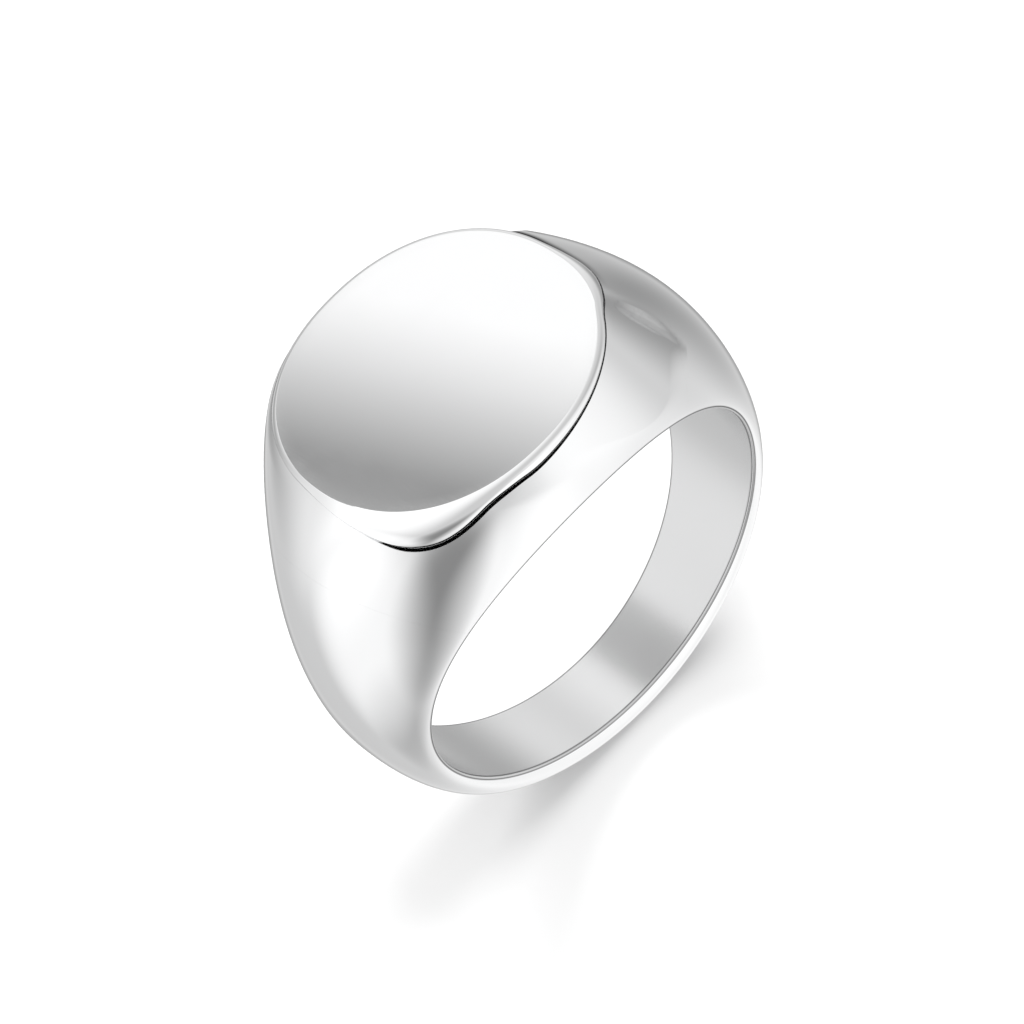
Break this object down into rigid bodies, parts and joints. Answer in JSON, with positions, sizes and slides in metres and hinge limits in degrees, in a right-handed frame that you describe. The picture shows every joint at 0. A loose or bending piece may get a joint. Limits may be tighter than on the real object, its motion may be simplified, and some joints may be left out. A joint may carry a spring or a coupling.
{
  "type": "signet ring",
  "caption": "Polished signet ring with a flat oval seal face on a raised head, tapering shoulders and a slim rounded shank.",
  "frame": {"origin": "centre of the finger bore", "axes": "+Z from the bore's centre to the seal face, +Y along the bore, +X across the finger towards the right shoulder"},
  "size_m": [0.0238, 0.0154, 0.0253],
  "materials": {
    "seal_metal": "mirror-polished white metal with faint lapping marks",
    "ring_metal": "mirror-polished white metal"
  },
  "bodies": {
    "root": {"seal_plate": "seal_metal", "head": "ring_metal", "left_shoulder": "ring_metal", "right_shoulder": "ring_metal", "shank": "ring_metal"}
  },
  "joints": []
}
